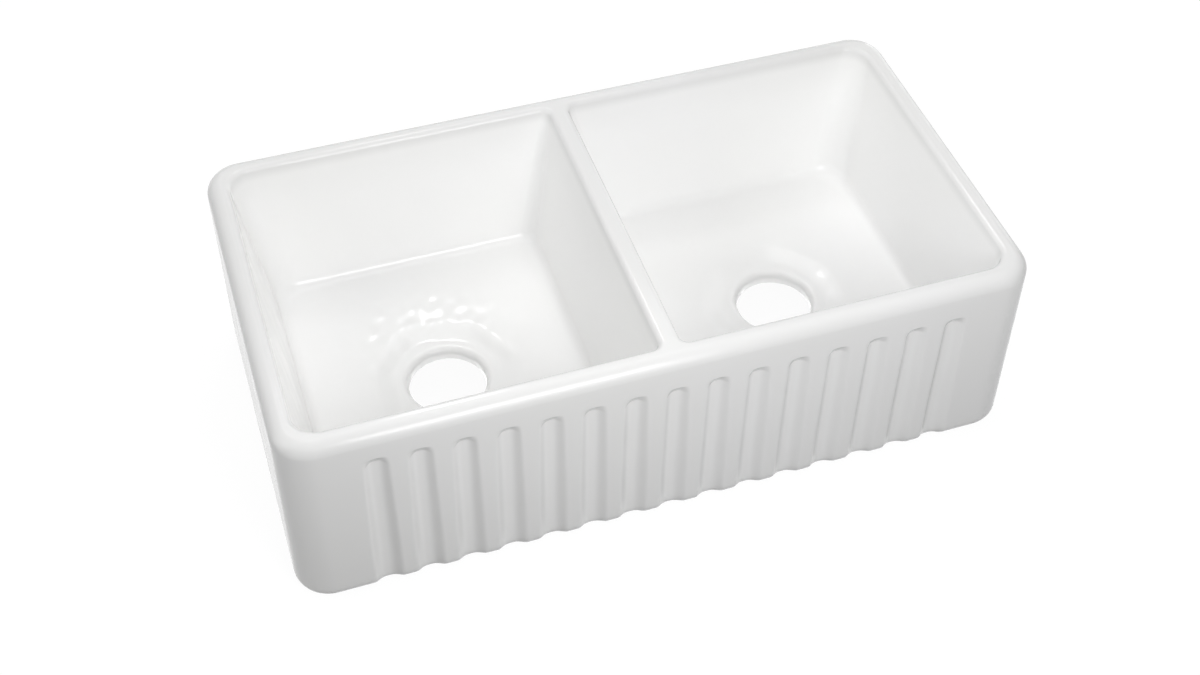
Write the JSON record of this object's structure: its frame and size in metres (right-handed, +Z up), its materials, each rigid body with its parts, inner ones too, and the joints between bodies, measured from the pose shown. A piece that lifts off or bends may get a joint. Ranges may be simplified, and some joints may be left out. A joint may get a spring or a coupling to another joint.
{
  "type": "farmhouse apron front sink",
  "caption": "White glazed fireclay farmhouse kitchen sink with two side-by-side bowls, round drain holes and a vertically fluted apron front.",
  "frame": {"origin": "middle of the base plane that the sink stands on", "axes": "+X along the apron to the right as seen from the front, +Y from the fluted apron to the back, +Z up"},
  "size_m": [0.838, 0.45, 0.254],
  "materials": {
    "white_glaze": "glossy fired white glaze"
  },
  "bodies": {
    "root": {"rim": "white_glaze", "divider_rail": "white_glaze", "fluted_apron": "white_glaze", "back_wall": "white_glaze", "left_wall": "white_glaze", "right_wall": "white_glaze", "left_bowl": "white_glaze", "right_bowl": "white_glaze", "left_floor": "white_glaze", "right_floor": "white_glaze", "left_drain_seat": "white_glaze", "right_drain_seat": "white_glaze"}
  },
  "joints": []
}
